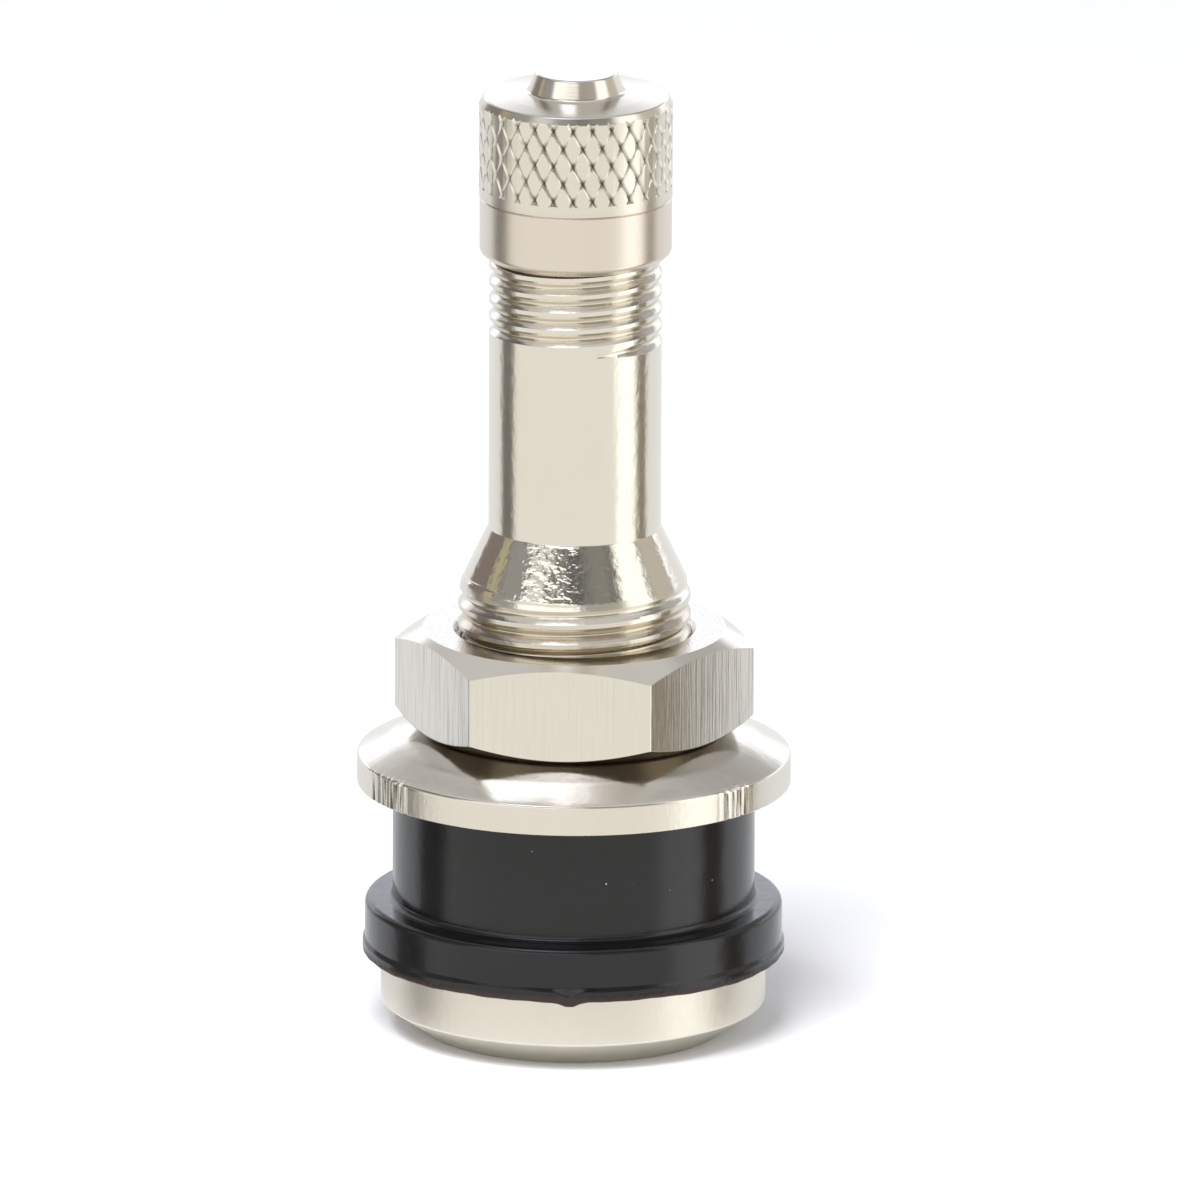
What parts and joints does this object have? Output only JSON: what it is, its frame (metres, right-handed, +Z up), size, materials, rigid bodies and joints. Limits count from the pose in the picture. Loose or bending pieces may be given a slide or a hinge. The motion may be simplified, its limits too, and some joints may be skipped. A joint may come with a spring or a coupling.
{
  "type": "tyre valve",
  "caption": "Clamp-in tyre valve: a nickel-plated stem with a bevelled head, rubber seal, dished washer, hexagon nut, spring-loaded valve core and knurled screw cap.",
  "frame": {"origin": "centre of the flat foot under the head, on the axis of the stem", "axes": "+Z up along the stem towards the cap, -Y towards the front of the picture"},
  "size_m": [0.0194, 0.0194, 0.044],
  "materials": {
    "nickel_plate": "bright nickel plate on turned brass",
    "seal_rubber": "satin black moulded rubber",
    "core_brass": "bare turned brass",
    "core_steel": "bright drawn wire",
    "packing": "low-friction packing plastic"
  },
  "bodies": {
    "stem": {"valve_stem": "nickel_plate", "grommet_sleeve": "seal_rubber", "grommet_flange": "seal_rubber", "core_plug": "core_brass", "core_barrel": "core_brass", "barrel_gasket": "packing", "core_spring": "core_steel"},
    "washer": {"washer": "nickel_plate"},
    "nut": {"hex_nut": "nickel_plate"},
    "cap_gasket": {"cap_gasket": "seal_rubber"},
    "cap": {"cap": "nickel_plate"},
    "pin": {"core_pin": "core_steel", "seat_cup": "core_brass", "seat_seal": "seal_rubber"}
  },
  "joints": [
    {"name": "nut_lift", "type": "slide", "parent": "stem", "child": "washer", "axis": [0, 0, 1], "range_m": [0, 0.00725]},
    {"name": "nut_turn", "type": "hinge", "parent": "washer", "child": "nut", "pos_m": [0, 0, 0.0138], "axis": [0, 0, 1], "range_deg": [0, 2880]},
    {"name": "cap_lift", "type": "slide", "parent": "stem", "child": "cap_gasket", "axis": [0, 0, 1], "range_m": [0, 0.00634]},
    {"name": "cap_turn", "type": "hinge", "parent": "cap_gasket", "child": "cap", "pos_m": [0, 0, 0.041], "axis": [0, 0, 1], "range_deg": [0, 2880]},
    {"name": "pin_press", "type": "slide", "parent": "stem", "child": "pin", "axis": [0, 0, -1], "range_m": [0, 0.0022], "stiffness_N_per_m": 500, "springref_m": -0.004, "deforming": ["core_spring"]}
  ],
  "couplings": [
    {"joint": "nut_turn", "follows": "nut_lift", "rad_per_m": 6927.4},
    {"joint": "cap_turn", "follows": "cap_lift", "rad_per_m": 7915.8}
  ]
}
